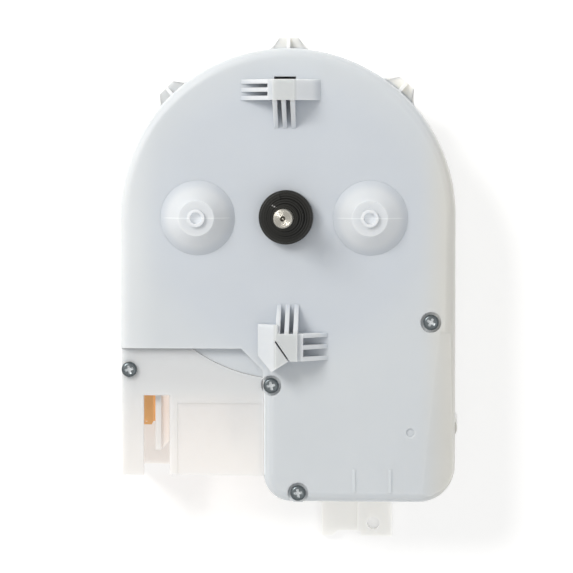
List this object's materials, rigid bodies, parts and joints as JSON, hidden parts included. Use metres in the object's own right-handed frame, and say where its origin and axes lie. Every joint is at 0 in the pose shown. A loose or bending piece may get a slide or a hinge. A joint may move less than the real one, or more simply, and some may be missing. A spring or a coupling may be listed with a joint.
{
  "type": "washing machine timer",
  "caption": "Arched flat timer case with a stepped hub and pull shaft, two pilot cones, two hook posts, a motor lobe and a keyed wiring socket; cam disc and gear train inside.",
  "frame": {"origin": "on the back face, on the axis of the shaft", "axes": "+Z along the shaft, out of the cover; +Y towards the round end; +X towards the side wall beside the motor lobe"},
  "size_m": [0.1154, 0.1747, 0.06],
  "materials": {
    "white_case": "natural milky moulded plastic, satin",
    "white_block": "natural moulded plastic, satin, slightly warmer",
    "screw_steel": "zinc plated, dull",
    "cam_plastic": "natural acetal, satin",
    "black_plastic": "black moulded plastic, satin",
    "shaft_steel": "turned bright steel",
    "spring_steel": "oiled spring steel",
    "gear_plastic": "natural acetal",
    "motor_steel": "zinc plated pressed steel",
    "terminal_brass": "stamped brass",
    "blade_copper": "copper alloy strip, stamped"
  },
  "bodies": {
    "housing": {"front_cover": "white_case", "rear_housing": "white_case", "switch_block": "white_block", "cover_screws": "screw_steel", "idler_pin": "shaft_steel", "motor_can": "motor_steel", "motor_plate": "motor_steel", "motor_screws": "screw_steel", "motor_terminals": "terminal_brass", "line_blade": "blade_copper", "line_contact": "blade_copper", "moving_blade_1": "blade_copper", "fixed_blade_1": "blade_copper", "moving_blade_2": "blade_copper", "fixed_blade_2": "blade_copper", "moving_blade_3": "blade_copper", "fixed_blade_3": "blade_copper", "moving_blade_4": "blade_copper", "fixed_blade_4": "blade_copper"},
    "program_disc": {"program_disc": "cam_plastic", "dial_hub": "black_plastic"},
    "shaft": {"shaft": "shaft_steel", "shaft_clip": "spring_steel"},
    "idler_gear": {"idler_gear": "gear_plastic"},
    "motor_pinion": {"motor_pinion": "gear_plastic"}
  },
  "joints": [
    {"name": "disc_turn", "type": "hinge", "parent": "housing", "child": "program_disc", "pos_m": [0, 0, 0.026], "axis": [0, 0, 1], "continuous": true},
    {"name": "shaft_pull", "type": "slide", "parent": "program_disc", "child": "shaft", "axis": [0, 0, 1], "range_m": [0, 0.006]},
    {"name": "idler_turn", "type": "hinge", "parent": "housing", "child": "idler_gear", "pos_m": [0.02676, -0.05033, 0.02], "axis": [0, 0, 1], "continuous": true},
    {"name": "motor_turn", "type": "hinge", "parent": "housing", "child": "motor_pinion", "pos_m": [0.02465, -0.07424, 0.02], "axis": [0, 0, 1], "continuous": true}
  ],
  "couplings": [
    {"joint": "idler_turn", "follows": "disc_turn", "ratio": -8.5},
    {"joint": "motor_turn", "follows": "disc_turn", "ratio": 34}
  ]
}
